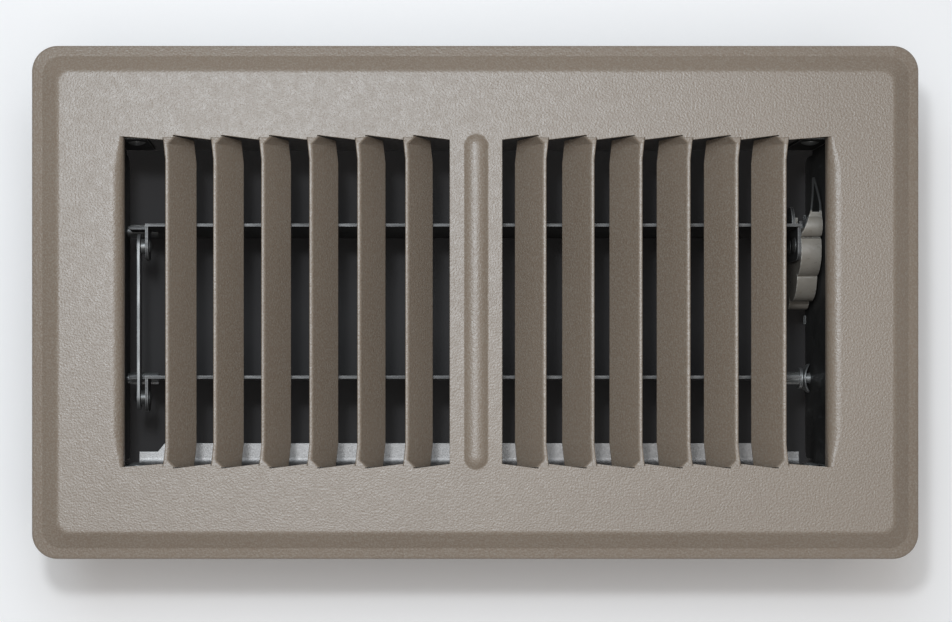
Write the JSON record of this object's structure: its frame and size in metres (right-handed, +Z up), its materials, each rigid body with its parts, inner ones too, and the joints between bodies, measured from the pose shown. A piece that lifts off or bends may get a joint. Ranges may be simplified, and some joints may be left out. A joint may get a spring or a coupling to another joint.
{
  "type": "floor register",
  "caption": "Louvred air grille: stamped steel floor register face with two mirrored banks of fins over a damper box whose linked blades turn with a thumb lever.",
  "frame": {"origin": "centre of the face, in the plane of the floor that the rim rests on", "axes": "+Z up out of the floor, +X along the face towards the thumb lever, +Y across the face"},
  "size_m": [0.2414, 0.1396, 0.0583],
  "materials": {
    "face_enamel": "baked taupe enamel with a fine orange-peel texture",
    "box_enamel": "the same enamel, thinner",
    "end_plate_steel": "dark mill steel, dull",
    "blade_steel": "mill steel, sheared bright edges",
    "lever_enamel": "taupe enamel, worn on the ridges",
    "zinc_steel": "zinc plated"
  },
  "bodies": {
    "frame": {"face_plate": "face_enamel", "rear_wall": "box_enamel", "front_wall": "box_enamel", "left_end_plate": "end_plate_steel", "right_end_plate": "end_plate_steel", "corner_rivets": "zinc_steel", "upper_friction_washer": "zinc_steel", "lower_friction_washer": "zinc_steel"},
    "upper_damper": {"upper_blade": "blade_steel", "upper_left_pivot": "zinc_steel", "upper_right_pivot": "zinc_steel", "thumb_lever": "lever_enamel", "lever_rivets": "zinc_steel", "upper_link_rivet": "zinc_steel", "upper_link_washer": "zinc_steel"},
    "lower_damper": {"lower_blade": "blade_steel", "lower_left_pivot": "zinc_steel", "lower_right_pivot": "zinc_steel", "lower_link_rivet": "zinc_steel", "lower_link_washer": "zinc_steel"},
    "link": {"link_bar": "zinc_steel"}
  },
  "joints": [
    {"name": "damper", "type": "hinge", "parent": "frame", "child": "upper_damper", "pos_m": [0, 0.0219, -0.0305], "axis": [-1, 0, 0], "range_deg": [0, 86]},
    {"name": "lower_blade_turn", "type": "hinge", "parent": "frame", "child": "lower_damper", "pos_m": [0, -0.0202, -0.0305], "axis": [-1, 0, 0], "range_deg": [0, 86]},
    {"name": "link_turn", "type": "hinge", "parent": "upper_damper", "child": "link", "pos_m": [-0.0928, 0.0163, -0.014], "axis": [-1, 0, 0], "range_deg": [-86, 0]}
  ],
  "couplings": [
    {"joint": "lower_blade_turn", "follows": "damper", "ratio": 1},
    {"joint": "link_turn", "follows": "damper", "ratio": -1}
  ]
}
